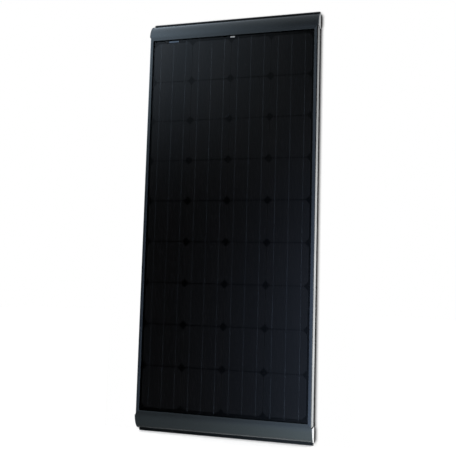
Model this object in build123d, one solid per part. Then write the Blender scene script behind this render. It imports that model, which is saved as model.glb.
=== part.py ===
from build123d import *
import os
from math import sqrt

# A framed solar panel standing on its lower end.
# X runs across the width, Y from the glass (front) to the open rear, Z up the length.
# The origin is the middle of the width and depth, at the outer edge of the lower base lip.
# All lengths are millimetres.

# ---------------------------------------------------------------- driving dimensions
COLUMNS = 4
ROWS = 9
CELL = 156.0            # side of a pseudo-square cell
CELL_GAP = 2.0
WAFER_RADIUS = 100.0    # the clipped cell corners lie on this circle

DEPTH = 48.0            # front lip to mounting plane
LIP_W = 13.0            # width of the front lip all round the glass
SIDE_MARGIN = 8.0       # black border between the cells and the side lips
END_MARGIN = 13.0       # black border between the cells and the end lips
NOSE_RUN = 57.0         # length of the curved nose of an end profile
BASE_LIP = 12.0         # flat foot that runs out beyond the curved nose

GLASS_T = 3.2
ENCAPSULANT_T = 0.6
CELL_T = 0.2
BACKSHEET_T = 0.4
SEAL_T = 0.5
SEAL_SETBACK = 1.0      # the gasket stays this far behind the lip's edge
GLASS_BITE = 7.0        # how far the laminate runs under the lip
GLASS_CHAMFER = 1.5     # clipped corners of the pane

LIP_T = 1.6
WALL_T = 2.0
SHELF_T = 1.6
BASE_T = 2.5
FLANGE_RUN = 30.0       # rear return flange, measured in from the outer face
CHANNEL_PLAY = 1.4      # room between the laminate and the bottom of the glazing channel
WEB_T = 2.6
EDGE_ROUND = 0.5        # rounded outer edges of the extrusions
SHOULDER_ROUND = 4.0    # rounded front shoulder of the side frames

RIBBON_W = 1.6
RIBBON_T = 0.2
RIBBONS_PER_CELL = 3
RIBBON_SETBACK = 5.0    # a ribbon stops this far short of the far edge of a cell
BUS_W = 5.0
BUS_GAP = 2.5           # from the last cell to its bus ribbon
BUS_OVERLAP = 4.0       # how far the end ribbons run on to the bus

TAG_T = 0.1
SERIAL_TAG = (-237.0, 7.5, 40.0, 6.0)   # x, distance below the upper glass edge, width, height
BADGE_TAG = (3.7, 5.5, 18.0, 5.0)

CAP_T = 3.0
CAP_PROUD = 2.0         # the cap foot stands this far beyond the nose
CAP_START = 3.0         # the cap begins this far beyond the side frame
CAP_ROUND = 0.8
PLUG_LENGTH = 8.0
PLUG_WALL = 1.7
PLUG_FIT = 0.3          # play between the cap's plug and the hollow nose
BOSS_RADIUS = 3.6
BOSS_CENTRES = ((22.0, 6.2), (56.0, 42.2))  # distance from the glass edge, depth behind the front
CAP_SCREW_RADIUS = 1.55
CAP_SCREW_LENGTH = 16.0
CAP_SCREW_HEAD = 1.9
CAP_SCREW_HEAD_RADIUS = 3.5
CAP_SCREW_TIP = 2.0
CAP_SCREW_SUNK = 0.1
CAP_SCREW_POINT = 0.3
CAP_SCREW_FIT = 0.5     # clearance round the shank in the cap
DRIVE_LENGTH = 3.6      # cross recess of the screw heads
DRIVE_W = 0.8
DRIVE_DEPTH = 1.2
KEY_ARM = 60.0
KEY_WALL = 2.0
KEY_RIB = 6.0
KEY_END = 10.0          # solid ends of the corner key's arms

MOUNT_HOLE_RADIUS = 3.5
MOUNT_SPACING_X = 626.0
MOUNT_SPACING_Z = 800.0
GROUND_HOLE_RADIUS = 2.0
DRAIN_HOLE_RADIUS = 3.0
DRAIN_FROM_GLASS = 10.0

BOX_W = 110.0           # junction box
BOX_L = 90.0
BOX_FROM_GLASS_END = 100.0
BOX_CORNER = 8.0
BOX_WALL = 2.5
BOX_RIM = 21.5          # rim height above the backsheet
BOX_SLOT = (36.0, 5.0)  # half width and half height of the slot for the output leads
SHEET_SLOT = (36.0, 3.0)
PAD_T = 1.5             # silicone bead under the box
PAD_INSET = 2.0
PAD_W = 5.0
LID_T = 3.0
LID_GAP = 0.5           # closed seal height between rim and lid
LID_ROUND = 1.2
LID_PAD = (80.0, 56.0, 1.2)     # raised field: width, length, height
LID_PAD_CORNER = 5.0
LID_PAD_ROUND = 0.8
SEAL_INSET = 0.5
SEAL_W = 1.7
LATCH_HALF_W = 9.0
LATCH_T = 1.9
LATCH_GAP = 1.3         # between the latch strap and the box wall
LATCH_END = 11.0        # height of the strap's free end
LATCH_STEP = 0.8        # the strap's root lies this far below the lid's face
LATCH_ROOT = 3.0        # how far the root reaches in over the lid
LEDGE_HEIGHTS = (15.5, 18.0)
LEDGE_HALF_W = 10.0
LEDGE_T = 1.2

HINGE_RADIUS = 3.0
HINGE_GAP = 0.3         # between the knuckles and the box wall
HINGE_DROP = 0.5        # the pin lies this far below the rim
HINGE_PIN_RADIUS = 1.25
HINGE_PIN_LENGTH = 90.0
PIN_FIT = 0.03          # pin in the box's lugs
RUNNING_FIT = 0.06      # pin in the lid's knuckles
LUG_W = 9.8
LUG_STARTS = (-44.0, -23.8, 14.0, 34.2)
LUG_DROP = 7.0
LUG_CHAMFER = 6.0
KNUCKLE_W = 10.0
KNUCKLE_STARTS = (-34.0, 24.0)

CONTACT_X = 28.0        # spacing of the three terminals
TERMINAL_HALF_W = 4.5
TERMINAL_TOP = 14.5
TERMINAL_LOW = -4.0     # lower and upper ends, from the middle of the box
TERMINAL_HIGH = 14.0
TERMINAL_CHAMFER = 0.6
TERMINAL_SCREW_RADIUS = 2.6
TERMINAL_SCREW_T = 1.6
TERMINAL_SLOT_W = 0.8
DIODE_RADIUS = 2.6
DIODE_LENGTH = 9.0
DIODE_WIRE_RADIUS = 0.55
DIODE_HEIGHT = 9.0
DIODE_RISE = 6.5        # from the middle of the box

STUB_RADIUS = 8.0       # gland stubs on the lower wall
STUB_LENGTH = 11.0
STUB_BORE = 6.2
GROMMET_RADIUS = 6.15
GROMMET_LENGTH = 12.8
GLAND_FLATS = 19.0
GLAND_NUT_START = 1.5
GLAND_NUT_LENGTH = 9.8
GLAND_DOME = ((8.8, 11.3), (8.0, 15.5), (6.0, 17.0))

CABLE_RADIUS = 2.9
CABLE_LIFT = 4.5        # cable axis above the backsheet where it is clipped
CONDUCTOR_RADIUS = 1.2
CONDUCTOR_LENGTH = 26.0
CABLE_BENDS = (30.0, 66.0, 130.0)   # cable start and first bends, below the middle of the box
CABLE_SPREAD = 40.0     # sideways run at the last of these bends
CLIP_DROPS = (210.0, 400.0)
CLIP_HALF_FOOT = (10.0, 8.0)
CLIP_FOOT_T = 1.4
CLIP_WALL = 1.5
CLIP_HALF_MOUTH = 1.5

CONNECTOR_X = 118.0
CONNECTOR_DROP = 520.0
CONNECTOR_HEIGHT = 12.0
CONNECTOR_REST = 12.0   # straight cable above the connector
CABLE_SEAT = 8.0        # cable inside the connector
HOUSING = ((7.0, 0.0), (7.0, -14.0))    # radius and place along the axis, cable end at zero
PLUG_FRONT = ((8.6, -14.0), (8.6, -34.0), (6.2, -36.0), (6.2, -58.0), (3.4, -58.0), (3.4, -24.0))
SOCKET_FRONT = ((9.3, -14.0), (9.3, -60.0), (6.5, -60.0), (6.5, -38.0), (3.4, -36.0), (3.4, -24.0))
HOUSING_STEP = -24.0    # where the cable bore ends
SNAP_ARM = (8.4, 1.0, -56.0, -30.0)     # offset, half thickness, tip, root
SNAP_CATCH = (9.0, 1.4, -56.0, -51.0)
SNAP_HALF_W = 3.0
CATCH_WINDOW = (24.0, 7.0, 7.0)
CATCH_Z = -48.0
CONTACT_TURNING = ((0.0, -11.0), (2.4, -11.0), (2.4, -24.0), (3.2, -26.0), (3.2, -33.0), (2.0, -35.0))
PLUG_TIP = -54.0
SOCKET_TIP = -56.0
NUT_TURNING = ((6.0, 14.0), (8.2, 11.0), (9.4, 5.0), (9.4, -12.0), (7.05, -12.0), (7.05, 0.3))
NUT_GROOVES = 10
NUT_GROOVE_RADIUS = 1.6
NUT_GROOVE_CENTRE = 10.4
NUT_GROOVE_SPAN = (-12.0, 4.0)

PLATE = (120.0, 70.0, 4.0)      # blank rating plate: width, height, corner radius
PLATE_T = 0.15
PLATE_DROP = 250.0      # below the middle of the box

PLAY = 0.1              # assembly play between parts that slide together

# ---------------------------------------------------------------- derived positions
PITCH = CELL + CELL_GAP
FRONT = -DEPTH / 2
REAR = DEPTH / 2
BASE_FRONT = REAR - BASE_T
GLASS_HALF_W = (COLUMNS * PITCH - CELL_GAP) / 2 + SIDE_MARGIN
HALF_W = GLASS_HALF_W + LIP_W
VISIBLE_L = ROWS * PITCH - CELL_GAP + 2 * END_MARGIN
END_RUN = LIP_W + NOSE_RUN + BASE_LIP
PANEL_L = VISIBLE_L + 2 * END_RUN
MID_Z = PANEL_L / 2
GLASS_TOP = PANEL_L - END_RUN

GLASS_FRONT = FRONT + LIP_T + SEAL_T
GLASS_BACK = GLASS_FRONT + GLASS_T
CELL_FRONT = GLASS_BACK + ENCAPSULANT_T
CELL_BACK = CELL_FRONT + CELL_T
SHEET_FRONT = CELL_BACK + ENCAPSULANT_T
SHEET_BACK = SHEET_FRONT + BACKSHEET_T
SHELF_FRONT = SHEET_BACK + SEAL_T
CHAMBER_FRONT = SHELF_FRONT + SHELF_T

CHANNEL_END = GLASS_BITE + CHANNEL_PLAY     # depth of the glazing channel from the lip's edge
INNER_FACE = -2.0       # inner wall of the hollow section, from the lip's edge
KEY_START = INNER_FACE + SHELF_T
WEB_END = CHANNEL_END + WEB_T
NOSE_RISE = BASE_FRONT - FRONT
LAMINATE_HALF_W = GLASS_HALF_W + GLASS_BITE
LAMINATE_HALF_L = VISIBLE_L / 2 + GLASS_BITE

BOX_Z = GLASS_TOP - BOX_FROM_GLASS_END
BOX_HIGH = BOX_Z + BOX_L / 2
BOX_LOW = BOX_Z - BOX_L / 2
LEAD_SLOT_Z = BOX_Z + 22.0
LID_UNDERSIDE = BOX_RIM + LID_GAP
LID_TOP = LID_UNDERSIDE + LID_T
HINGE_Z = BOX_HIGH + HINGE_RADIUS + HINGE_GAP
HINGE_HEIGHT = BOX_RIM - HINGE_DROP
GLAND_HEIGHT = 11.0
CLIP_ZS = [BOX_Z - drop for drop in CLIP_DROPS]
CONNECTOR_Z = BOX_Z - CONNECTOR_DROP


# ---------------------------------------------------------------- helpers
def save(name, shape):
    """Write one node."""
    export_step(shape, f"parts/{name}.step")


def group(solids):
    """Several loose solids kept in one node."""
    return Compound(children=list(solids))


def block(x0, x1, y0, y1, z0, z1):
    """Box between two corners."""
    centre = Pos((x0 + x1) / 2, (y0 + y1) / 2, (z0 + z1) / 2)
    return centre * Box(x1 - x0, y1 - y0, z1 - z0)


def rectangle(u0, u1, v0, v1):
    """Flat rectangle between two corners."""
    return Pos((u0 + u1) / 2, (v0 + v1) / 2) * Rectangle(u1 - u0, v1 - v0)


def slab(outline, y0, y1):
    """Outline drawn in (x, z), filled from y0 back to y1."""
    plane = Plane(origin=(0, y0, 0), x_dir=(1, 0, 0), z_dir=(0, -1, 0))
    return extrude(plane * outline, amount=-(y1 - y0))


def behind(height):
    """Y of a point at this height above the rear face of the backsheet."""
    return SHEET_BACK + height


def upside_down(shape):
    """Mirror image at the other end of the panel."""
    return mirror(shape, about=Plane.XY.offset(MID_Z))


def other_side(shape):
    """Mirror image on the left of the panel."""
    return mirror(shape, about=Plane.YZ)


def turned(points):
    """Solid of revolution about Z from (radius, z) points."""
    outline = make_face(Polyline(*[(r, 0, z) for r, z in points], close=True))
    return revolve(outline, axis=Axis.Z)


def along_x(x, y, z):
    """Location whose local Z points outwards along +X."""
    return Plane(origin=(x, y, z), z_dir=(1, 0, 0)).location


# ---------------------------------------------------------------- cells and ribbons
def cell_x(column):
    return (column - (COLUMNS - 1) / 2) * PITCH


def cell_z(row):
    return MID_Z + (row - (ROWS - 1) / 2) * PITCH


def ribbon_xs(column):
    """Centre lines of the ribbons on one column of cells."""
    step = CELL / RIBBONS_PER_CELL
    return [cell_x(column) + (i - (RIBBONS_PER_CELL - 1) / 2) * step for i in range(RIBBONS_PER_CELL)]


def cell_string(column):
    """One column of pseudo-square cells."""
    outline = Rectangle(CELL, CELL) & Circle(WAFER_RADIUS)
    return [slab(Pos(cell_x(column), cell_z(row)) * outline, CELL_FRONT, CELL_BACK) for row in range(ROWS)]


def ribbon_strip(x, z0, z1, y0):
    return block(x - RIBBON_W / 2, x + RIBBON_W / 2, y0, y0 + RIBBON_T, z0, z1)


def cell_link(x, row):
    """Ribbon from the front of one cell, down through the gap, to the back of the next."""
    crossing = cell_z(row) + PITCH / 2
    start = cell_z(row) - CELL / 2 + RIBBON_SETBACK
    end = cell_z(row + 1) + CELL / 2 - RIBBON_SETBACK
    half = RIBBON_T / 2
    front = ribbon_strip(x, start, crossing + half, CELL_FRONT - RIBBON_T)
    back = ribbon_strip(x, crossing - half, end, CELL_BACK)
    riser = block(x - RIBBON_W / 2, x + RIBBON_W / 2, CELL_FRONT - RIBBON_T, CELL_BACK + RIBBON_T,
                  crossing - half, crossing + half)
    return front + riser + back


def end_links(x):
    """The string's two end ribbons, which run out over the cell edge to the bus ribbons."""
    reach = CELL / 2 + BUS_GAP + BUS_OVERLAP
    top = ribbon_strip(x, cell_z(ROWS - 1) - CELL / 2 + RIBBON_SETBACK, cell_z(ROWS - 1) + reach,
                       CELL_FRONT - RIBBON_T)
    bottom = ribbon_strip(x, cell_z(0) - reach, cell_z(0) + CELL / 2 - RIBBON_SETBACK, CELL_BACK)
    return [top, bottom]


def string_ribbons(column):
    """All ribbons of one column; neighbouring columns run in opposite directions."""
    ribbons = []
    for x in ribbon_xs(column):
        ribbons += [cell_link(x, row) for row in range(ROWS - 1)] + end_links(x)
    if column % 2:
        ribbons = [upside_down(ribbon) for ribbon in ribbons]
    return ribbons


def bus_span(first_column, last_column):
    """One bus ribbon in the upper border, joining whole columns."""
    z0 = cell_z(ROWS - 1) + CELL / 2 + BUS_GAP
    x0 = ribbon_xs(first_column)[0] - RIBBON_W
    x1 = ribbon_xs(last_column)[-1] + RIBBON_W
    return block(x0, x1, CELL_FRONT, CELL_BACK, z0, z0 + BUS_W)


def bus_ribbons_top():
    last = COLUMNS - 1
    return [bus_span(0, 0), bus_span(1, last - 1), bus_span(last, last)]


def bus_ribbons_bottom():
    half = COLUMNS // 2
    return [upside_down(bus_span(0, half - 1)), upside_down(bus_span(half, COLUMNS - 1))]


def output_lead(bus_x, terminal_x):
    """Flat ribbon from a bus, behind the cells, through the backsheet slot to a terminal."""
    half = BUS_W / 2
    y0 = CELL_BACK + RIBBON_T
    y1 = y0 + RIBBON_T
    bus_z = cell_z(ROWS - 1) + CELL / 2 + BUS_GAP + BUS_W
    tab = block(terminal_x - half, terminal_x + half, y0, behind(GLAND_HEIGHT),
                LEAD_SLOT_Z - RIBBON_T, LEAD_SLOT_Z)
    foot = block(terminal_x - half, terminal_x + half, behind(GLAND_HEIGHT) - RIBBON_T, behind(GLAND_HEIGHT),
                 BOX_Z + TERMINAL_HIGH, LEAD_SLOT_Z)
    drop = block(bus_x - half, bus_x + half, y0, y1, LEAD_SLOT_Z - RIBBON_T, bus_z)
    lead = tab + foot + drop
    if abs(bus_x - terminal_x) > BUS_W:
        low = min(bus_x, terminal_x) - half
        high = max(bus_x, terminal_x) + half
        lead += block(low, high, y0, y1, LEAD_SLOT_Z - RIBBON_T, LEAD_SLOT_Z + BUS_W)
    lead += block(bus_x - half, bus_x + half, CELL_BACK, y1, bus_z - BUS_W, bus_z)
    return lead


def output_leads():
    outer_bus_x = cell_x(COLUMNS - 1) - CELL / 4
    return [output_lead(-outer_bus_x, -CONTACT_X), output_lead(0, 0), output_lead(outer_bus_x, CONTACT_X)]


# ---------------------------------------------------------------- laminate
def laminate_sheet(y0, y1):
    """Full-size flat layer of the laminate."""
    return block(-LAMINATE_HALF_W, LAMINATE_HALF_W, y0, y1, MID_Z - LAMINATE_HALF_L, MID_Z + LAMINATE_HALF_L)


def front_glass():
    glass = laminate_sheet(GLASS_FRONT, GLASS_BACK)
    return chamfer(glass.edges().filter_by(Axis.Y), GLASS_CHAMFER)


def front_tag(x, drop, width, height):
    """Thin blank tag pressed between the glass and the front encapsulant."""
    z = GLASS_TOP - drop
    return block(x - width / 2, x + width / 2, GLASS_BACK, GLASS_BACK + TAG_T, z - height / 2, z + height / 2)


def backsheet():
    half_w, half_h = SHEET_SLOT
    slot = block(-half_w, half_w, SHEET_FRONT, SHEET_BACK, LEAD_SLOT_Z - half_h, LEAD_SLOT_Z + half_h)
    return laminate_sheet(SHEET_FRONT, SHEET_BACK) - slot


def edge_seal():
    """One U-section gasket wrapped round the laminate's edge."""
    half_w = GLASS_HALF_W + CHANNEL_END
    half_l = VISIBLE_L / 2 + CHANNEL_END
    outer = block(-half_w, half_w, FRONT + LIP_T, SHELF_FRONT, MID_Z - half_l, MID_Z + half_l)
    half_w -= CHANNEL_END - SEAL_SETBACK
    half_l -= CHANNEL_END - SEAL_SETBACK
    window = block(-half_w, half_w, FRONT, REAR, MID_Z - half_l, MID_Z + half_l)
    return outer - laminate_sheet(GLASS_FRONT, SHEET_BACK) - window


# ---------------------------------------------------------------- frame
def channel_outline():
    """Section points from the rear flange round the glazing channel to the lip's edge.

    First coordinate: distance outwards from the visible edge of the glass. Second: Y.
    """
    flange = LIP_W - FLANGE_RUN
    return [(flange, REAR), (flange, BASE_FRONT), (INNER_FACE, BASE_FRONT), (INNER_FACE, SHELF_FRONT),
            (CHANNEL_END, SHELF_FRONT), (CHANNEL_END, FRONT + LIP_T), (0, FRONT + LIP_T), (0, FRONT)]


def rim_face():
    """Solid outline shared by the side frames and the straight part of the end profiles."""
    face = make_face(Polyline(*channel_outline(), (LIP_W, FRONT), (LIP_W, REAR), close=True))
    return rounded(face, EDGE_ROUND, (0, FRONT))


def rounded(face, radius, *corners):
    """Outline with these corners rounded."""
    picked = [face.vertices().sort_by_distance((*corner, 0))[0] for corner in corners]
    return fillet(picked, radius)


def mitre_plane():
    """The cut between the right side frame and the upper end profile."""
    return Plane(origin=(GLASS_HALF_W, 0, GLASS_TOP), z_dir=(-1, 0, 1))


def flange_hole(radius, x, z):
    """Round hole through the rear flange."""
    return Pos(x, REAR, z) * Rot(90, 0, 0) * Cylinder(radius, 4 * BASE_T)


def side_frame():
    """Right-hand side frame, mitred at both ends."""
    chamber = rectangle(KEY_START, LIP_W - WALL_T, CHAMBER_FRONT, BASE_FRONT)
    outline = rounded(rim_face(), EDGE_ROUND, (LIP_W, REAR))
    outline = rounded(outline, SHOULDER_ROUND, (LIP_W, FRONT))
    section = Pos(GLASS_HALF_W, 0) * (outline - chamber)
    low = PANEL_L - GLASS_TOP - LIP_W
    frame = extrude(Pos(0, 0, low) * section, amount=PANEL_L - 2 * low)
    frame = split(frame, bisect_by=mitre_plane(), keep=Keep.BOTTOM)
    frame = upside_down(split(upside_down(frame), bisect_by=mitre_plane(), keep=Keep.BOTTOM))
    hole_x = MOUNT_SPACING_X / 2
    for z in (MID_Z - MOUNT_SPACING_Z / 2, MID_Z + MOUNT_SPACING_Z / 2):
        frame -= flange_hole(MOUNT_HOLE_RADIUS, hole_x, z)
    return frame - flange_hole(GROUND_HOLE_RADIUS, hole_x, MID_Z)


def quarter_ellipse(run, rise, s0, s1):
    """Part of the nose-shaped quarter between two distances from the glass edge."""
    oval = Pos(LIP_W, BASE_FRONT) * Ellipse(run, rise)
    return oval & rectangle(s0, s1, BASE_FRONT - rise, BASE_FRONT)


def boss_centres():
    """Screw ports of the end profile, as (distance from the glass edge, Y)."""
    return [(reach, FRONT + depth) for reach, depth in BOSS_CENTRES]


def end_section():
    """Hollow section of an end profile, in (distance from the glass edge, Y)."""
    section = rim_face() + quarter_ellipse(NOSE_RUN, NOSE_RISE, LIP_W, END_RUN)
    foot = rectangle(LIP_W, END_RUN, BASE_FRONT, REAR)
    section += rounded(foot, EDGE_ROUND, (END_RUN, BASE_FRONT), (END_RUN, REAR))
    section -= rectangle(KEY_START, CHANNEL_END, CHAMBER_FRONT, BASE_FRONT)
    hollow = quarter_ellipse(NOSE_RUN - WALL_T, NOSE_RISE - WALL_T, LIP_W, END_RUN)
    hollow += rectangle(WEB_END, LIP_W, FRONT + WALL_T, BASE_FRONT)
    section -= hollow
    for s, y in boss_centres():
        section += Pos(s, y) * Circle(BOSS_RADIUS)
    for s, y in boss_centres():
        section -= Pos(s, y) * Circle(CAP_SCREW_RADIUS + PLAY / 2)
    return section


def end_plane(x):
    """Plane across the upper end profile: local x is the distance beyond the glass edge, local y is Y."""
    return Plane(origin=(x, 0, GLASS_TOP), x_dir=(0, 0, 1), z_dir=(-1, 0, 0))


def end_profile():
    """Upper end profile, mitred into both side frames."""
    profile = extrude(end_plane(HALF_W) * end_section(), amount=2 * HALF_W)
    for _ in range(2):
        profile = other_side(split(profile, bisect_by=mitre_plane(), keep=Keep.TOP))
    for x in (-HALF_W / 2, HALF_W / 2):
        profile -= flange_hole(DRAIN_HOLE_RADIUS, x, GLASS_TOP - DRAIN_FROM_GLASS)
    return profile


def plug_outline(shrink, start):
    """Nose-shaped outline, smaller by this much all round."""
    return quarter_ellipse(NOSE_RUN - shrink, NOSE_RISE - shrink, LIP_W + start, END_RUN)


def cap_plug():
    """Hollow plug of an end cap, cut away round the screw ports."""
    shrink = WALL_T + PLUG_FIT
    plug = plug_outline(shrink, CAP_START + 0.5) - rectangle(0, END_RUN, BASE_FRONT - PLUG_FIT, BASE_FRONT)
    core = plug_outline(shrink + PLUG_WALL, CAP_START + 0.5 + PLUG_WALL)
    plug -= core - rectangle(0, END_RUN, BASE_FRONT - PLUG_FIT - PLUG_WALL, BASE_FRONT)
    for s, y in boss_centres():
        plug -= Pos(s, y) * Circle(BOSS_RADIUS + PLUG_FIT)
    return plug


def end_cap():
    """Upper right end cap: a D-shaped plate with a plug that fits the hollow nose."""
    outline = quarter_ellipse(NOSE_RUN + CAP_PROUD, NOSE_RISE, LIP_W + CAP_START, END_RUN)
    outline += rectangle(LIP_W + CAP_START, LIP_W + NOSE_RUN + CAP_PROUD, BASE_FRONT, REAR)
    plate = extrude(end_plane(HALF_W + CAP_T) * outline, amount=CAP_T)
    plate = fillet(plate.faces().sort_by(Axis.X)[-1].edges(), CAP_ROUND)
    cap = plate + extrude(end_plane(HALF_W) * cap_plug(), amount=PLUG_LENGTH)
    bore = CAP_SCREW_RADIUS + CAP_SCREW_FIT
    sink = CAP_SCREW_HEAD + CAP_SCREW_SUNK
    for s, y in boss_centres():
        seat = along_x(HALF_W, y, GLASS_TOP + s)
        cap -= seat * Pos(0, 0, CAP_T / 2) * Cylinder(bore, CAP_T)
        cap -= seat * Pos(0, 0, CAP_T - sink / 2) * Cone(bore, CAP_SCREW_HEAD_RADIUS + 2 * PLAY, sink)
    return cap


def cap_screw(s, y):
    """Countersunk self-tapping screw through the upper right cap."""
    shank = CAP_SCREW_LENGTH - CAP_SCREW_HEAD - CAP_SCREW_TIP
    screw = Pos(0, 0, -CAP_SCREW_HEAD / 2) * Cone(CAP_SCREW_RADIUS, CAP_SCREW_HEAD_RADIUS, CAP_SCREW_HEAD)
    screw += Pos(0, 0, -CAP_SCREW_HEAD - shank / 2) * Cylinder(CAP_SCREW_RADIUS, shank)
    tip = Cone(CAP_SCREW_POINT, CAP_SCREW_RADIUS, CAP_SCREW_TIP)
    screw += Pos(0, 0, CAP_SCREW_TIP / 2 - CAP_SCREW_LENGTH) * tip
    screw -= Box(DRIVE_LENGTH, DRIVE_W, 2 * DRIVE_DEPTH) + Box(DRIVE_W, DRIVE_LENGTH, 2 * DRIVE_DEPTH)
    return along_x(HALF_W + CAP_T - CAP_SCREW_SUNK, y, GLASS_TOP + s) * screw


def cap_screws():
    screws = [cap_screw(s, y) for s, y in boss_centres()]
    screws += [other_side(screw) for screw in screws]
    return screws + [upside_down(screw) for screw in screws]


def corner_key():
    """L-shaped key in the chambers of the right side frame and upper end profile."""
    x0 = GLASS_HALF_W + KEY_START + PLAY
    x1 = HALF_W - WALL_T - PLAY
    z0 = GLASS_TOP + KEY_START + PLAY
    z1 = GLASS_TOP + CHANNEL_END - PLAY
    y0 = CHAMBER_FRONT + PLAY
    y1 = BASE_FRONT - PLAY
    side_arm = block(x0, x1, y0, y1, GLASS_TOP - KEY_ARM, z1)
    end_arm = block(GLASS_HALF_W - KEY_ARM, x1, y0, y1, z0, z1)
    relief = block(x0 + KEY_WALL, x1, y0 + KEY_RIB, y1 - KEY_RIB,
                   GLASS_TOP - KEY_ARM + KEY_END, GLASS_TOP - KEY_END)
    relief += block(GLASS_HALF_W - KEY_ARM + KEY_END, GLASS_HALF_W - KEY_END, y0 + KEY_RIB, y1 - KEY_RIB,
                    z0 + KEY_WALL, z1)
    return side_arm + end_arm - relief


def save_corners(name, shape):
    """Write the four mirrored copies of an upper right corner part."""
    save(f"{name}_top_right", shape)
    save(f"{name}_top_left", other_side(shape))
    save(f"{name}_bottom_right", upside_down(shape))
    save(f"{name}_bottom_left", upside_down(other_side(shape)))


# ---------------------------------------------------------------- junction box
def box_outline(inset):
    """Rounded outline of the box, drawn in (x, z)."""
    return Pos(0, BOX_Z) * RectangleRounded(BOX_W - 2 * inset, BOX_L - 2 * inset, BOX_CORNER - inset)


def box_adhesive():
    """Silicone bead between the box and the backsheet."""
    return slab(box_outline(PAD_INSET) - box_outline(PAD_INSET + PAD_W), behind(0), behind(PAD_T))


def on_hinge(x0, x1, radius):
    """Cylinder about the lid's axis between two places across the box."""
    return along_x((x0 + x1) / 2, behind(HINGE_HEIGHT), HINGE_Z) * Cylinder(radius, x1 - x0)


def base_lug(x0):
    """Lug on the box's upper wall that carries the hinge pin."""
    x1 = x0 + LUG_W
    web = block(x0, x1, behind(HINGE_HEIGHT - LUG_DROP), behind(HINGE_HEIGHT), BOX_HIGH - 0.5,
                HINGE_Z + HINGE_RADIUS)
    under = web.edges().filter_by(Axis.X).sort_by(Axis.Z)[-2:].sort_by(Axis.Y)[0]
    web = chamfer(under, LUG_CHAMFER)
    return web + on_hinge(x0, x1, HINGE_RADIUS) - on_hinge(x0 - 1, x1 + 1, HINGE_PIN_RADIUS + PIN_FIT)


def gland_locations():
    """Cable exits in the box's lower wall; local Z points out of the box."""
    return [Plane(origin=(x, behind(GLAND_HEIGHT), BOX_LOW), z_dir=(0, 0, -1)).location
            for x in (-CONTACT_X, CONTACT_X)]


def box_base():
    """Open box with its hinge lugs, gland stubs and latch ledge."""
    floor = PAD_T + BOX_WALL
    half_w, half_h = BOX_SLOT
    body = slab(box_outline(0), behind(PAD_T), behind(BOX_RIM))
    body -= slab(box_outline(BOX_WALL), behind(floor), behind(BOX_RIM))
    body -= block(-half_w, half_w, behind(PAD_T), behind(floor), LEAD_SLOT_Z - half_h, LEAD_SLOT_Z + half_h)
    for x0 in LUG_STARTS:
        body += base_lug(x0)
    bore = Cylinder(STUB_BORE, STUB_LENGTH + BOX_WALL + 1)
    for place in gland_locations():
        body += place * Pos(0, 0, STUB_LENGTH / 2) * Cylinder(STUB_RADIUS, STUB_LENGTH)
        body -= place * Pos(0, 0, (STUB_LENGTH - BOX_WALL) / 2) * bore
    low, high = LEDGE_HEIGHTS
    ledge = block(-LEDGE_HALF_W, LEDGE_HALF_W, behind(low), behind(high),
                  BOX_LOW - LEDGE_T, BOX_LOW + BOX_WALL / 2)
    return body + ledge


def lid_seal():
    """Flat rubber ring between rim and lid."""
    ring = box_outline(SEAL_INSET) - box_outline(SEAL_INSET + SEAL_W)
    return slab(ring, behind(BOX_RIM), behind(LID_UNDERSIDE))


def lid_plate():
    """Lid with softened edges and a raised field."""
    plate = slab(box_outline(0), behind(LID_UNDERSIDE), behind(LID_TOP))
    plate = fillet(plate.faces().sort_by(Axis.Y)[-1].edges(), LID_ROUND)
    width, length, height = LID_PAD
    field = slab(Pos(0, BOX_Z) * RectangleRounded(width, length, LID_PAD_CORNER), behind(LID_TOP),
                 behind(LID_TOP + height))
    return plate + fillet(field.faces().sort_by(Axis.Y)[-1].edges(), LID_PAD_ROUND)


def lid_knuckle(x0):
    """Hinge knuckle of the lid with its arm."""
    x1 = x0 + KNUCKLE_W
    arm = block(x0, x1, behind(LID_UNDERSIDE), behind(HINGE_HEIGHT + HINGE_RADIUS), BOX_HIGH - 2, HINGE_Z)
    return arm + on_hinge(x0, x1, HINGE_RADIUS), on_hinge(x0 - 1, x1 + 1, HINGE_PIN_RADIUS + RUNNING_FIT)


def box_lid():
    """Lid with two hinge knuckles and one latch."""
    lid = lid_plate()
    for x0 in KNUCKLE_STARTS:
        knuckle, bore = lid_knuckle(x0)
        lid += knuckle - bore
    high = behind(LID_TOP - LATCH_STEP)
    inner = BOX_LOW - LATCH_GAP
    outer = inner - LATCH_T
    lid += block(-LATCH_HALF_W, LATCH_HALF_W, behind(LATCH_END), high, outer, inner)
    return lid + block(-LATCH_HALF_W, LATCH_HALF_W, behind(LID_UNDERSIDE), high, outer, BOX_LOW + LATCH_ROOT)


def hinge_pin():
    return on_hinge(-HINGE_PIN_LENGTH / 2, HINGE_PIN_LENGTH / 2, HINGE_PIN_RADIUS)


def terminals():
    """Three tinned clamp blocks, standing on the box floor."""
    blocks = []
    half = TERMINAL_HALF_W
    head = TERMINAL_TOP + TERMINAL_SCREW_T / 2
    groove = Box(2 * TERMINAL_SCREW_RADIUS + 1, TERMINAL_SCREW_T, TERMINAL_SLOT_W)
    for x in (-CONTACT_X, 0, CONTACT_X):
        body = block(x - half, x + half, behind(PAD_T + BOX_WALL), behind(TERMINAL_TOP),
                     BOX_Z + TERMINAL_LOW, BOX_Z + TERMINAL_HIGH)
        body = chamfer(body.faces().sort_by(Axis.Y)[-1].edges(), TERMINAL_CHAMFER)
        centre = Pos(x, behind(head), BOX_Z + 1)
        screw = centre * Rot(90, 0, 0) * Cylinder(TERMINAL_SCREW_RADIUS, TERMINAL_SCREW_T)
        slot = centre * Pos(0, TERMINAL_SCREW_T / 2, 0) * groove
        blocks.append(body + screw - slot)
    return blocks


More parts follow.
